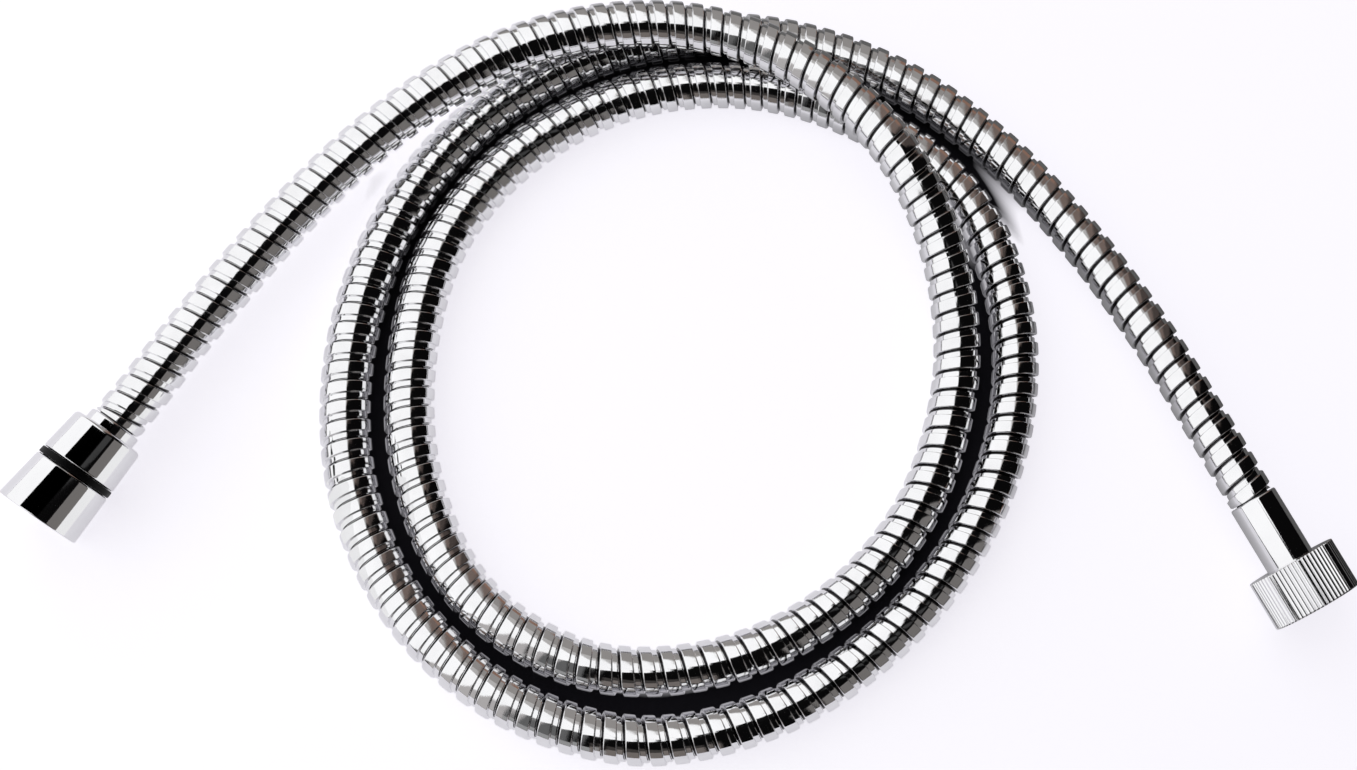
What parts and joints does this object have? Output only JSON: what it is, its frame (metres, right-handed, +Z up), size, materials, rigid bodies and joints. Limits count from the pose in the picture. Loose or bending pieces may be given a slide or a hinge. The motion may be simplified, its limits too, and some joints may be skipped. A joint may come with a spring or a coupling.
{
  "type": "shower hose",
  "caption": "Flexible spiral metal shower hose lying in loose turns, with a knurled union nut at the tap end and a conical union nut at the handset end.",
  "frame": {"origin": "centre of the bounding box in plan, on the floor that the hose lies on", "axes": "+X to the right of the picture along the longest extent, +Y towards its top edge, +Z up from the floor"},
  "size_m": [0.3776, 0.2244, 0.0288],
  "materials": {
    "casing_chrome": "polished chrome-plated steel strip, wound as a double interlock spiral",
    "fitting_chrome": "polished chrome plating on brass",
    "stem_brass": "turned brass",
    "seal_rubber": "matt black rubber",
    "liner_rubber": "matt dark grey rubber tube",
    "ring_black": "black ring set flush in the groove"
  },
  "bodies": {
    "hose": {"metal_hose": "casing_chrome", "inner_hose": "liner_rubber", "tap_ferrule": "fitting_chrome", "tap_stem": "stem_brass", "tap_washer": "seal_rubber", "handset_ferrule": "fitting_chrome", "handset_stem": "stem_brass", "handset_washer": "seal_rubber"},
    "tap_coupling": {"tap_nut": "fitting_chrome"},
    "handset_coupling": {"handset_nut": "fitting_chrome", "handset_ring": "ring_black"}
  },
  "joints": [
    {"name": "tap_nut_turn", "type": "hinge", "parent": "hose", "child": "tap_coupling", "pos_m": [0.17356, -0.06619, 0.0136], "axis": [0.4694, -0.883, 0], "continuous": true},
    {"name": "handset_nut_turn", "type": "hinge", "parent": "hose", "child": "handset_coupling", "pos_m": [-0.17076, -0.0308, 0.0117], "axis": [-0.5875, -0.8092, 0], "continuous": true}
  ]
}
